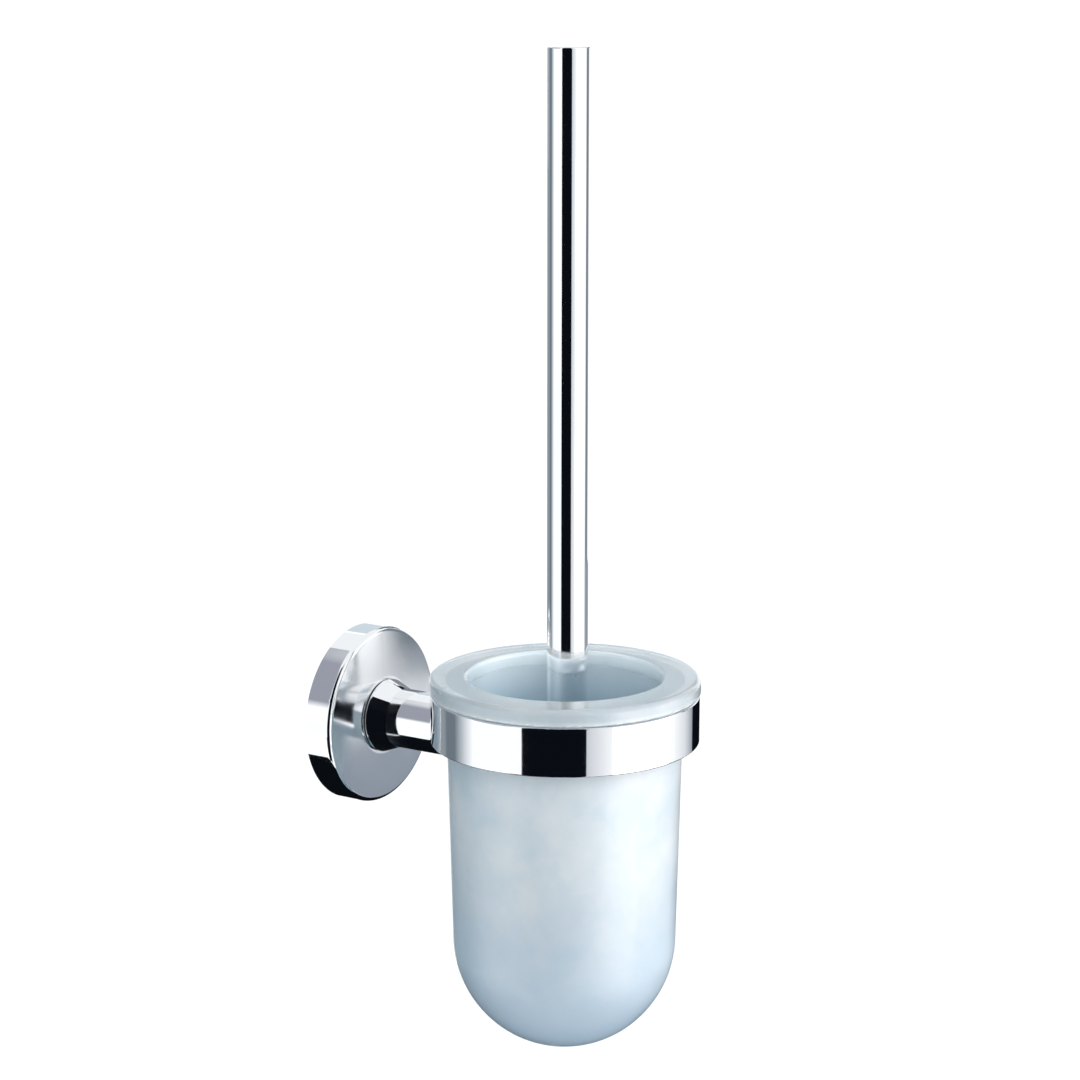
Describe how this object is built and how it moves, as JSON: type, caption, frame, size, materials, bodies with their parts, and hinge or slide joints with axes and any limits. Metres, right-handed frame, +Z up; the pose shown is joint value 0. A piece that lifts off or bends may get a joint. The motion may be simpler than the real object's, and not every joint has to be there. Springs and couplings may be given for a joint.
{
  "type": "toilet brush holder",
  "caption": "Wall-mounted toilet brush holder: a chrome rosette and arm carry a chrome ring with a frosted glass cup, and a brush with a straight chrome handle stands in it.",
  "frame": {"origin": "centre of the wall plate's back face, on the wall plane", "axes": "+Z up along the brush handle; +Y into the wall, along the arm; +X to the right when facing the wall"},
  "size_m": [0.1008, 0.1454, 0.3711],
  "materials": {
    "chrome": "mirror-polished chrome plating",
    "zinc_steel": "zinc-plated, satin",
    "dark_steel": "black oxide",
    "clear_liner": "soft clear plastic",
    "frosted_glass": "sandblasted, pale blue-green tint",
    "brass": "turned",
    "black_rubber": "matte",
    "white_plastic": "moulded, satin",
    "white_bristle": "nylon bristle"
  },
  "bodies": {
    "bracket": {"wall_plate": "zinc_steel", "mounting_socket": "zinc_steel", "rosette_cover": "chrome", "set_screw": "dark_steel", "arm_seat_washer": "black_rubber", "bracket_arm": "chrome", "arm_screw": "zinc_steel", "arm_screw_washer": "zinc_steel", "holder_ring": "chrome", "ring_screws": "zinc_steel", "ring_liner": "clear_liner"},
    "cup": {"glass_cup": "frosted_glass"},
    "brush": {"handle_tube": "chrome", "handle_top_cap": "chrome", "handle_insert": "brass", "handle_seal": "black_rubber", "head_stud": "zinc_steel", "head_collar": "white_plastic", "brush_core": "white_plastic", "brush_bristles": "white_bristle"}
  },
  "joints": [
    {"name": "cup_lift", "type": "slide", "parent": "bracket", "child": "cup", "axis": [0, 0, 1], "range_m": [0, 0.15]},
    {"name": "brush_lift", "type": "slide", "parent": "cup", "child": "brush", "axis": [0, 0, 1], "range_m": [0, 0.15]}
  ]
}
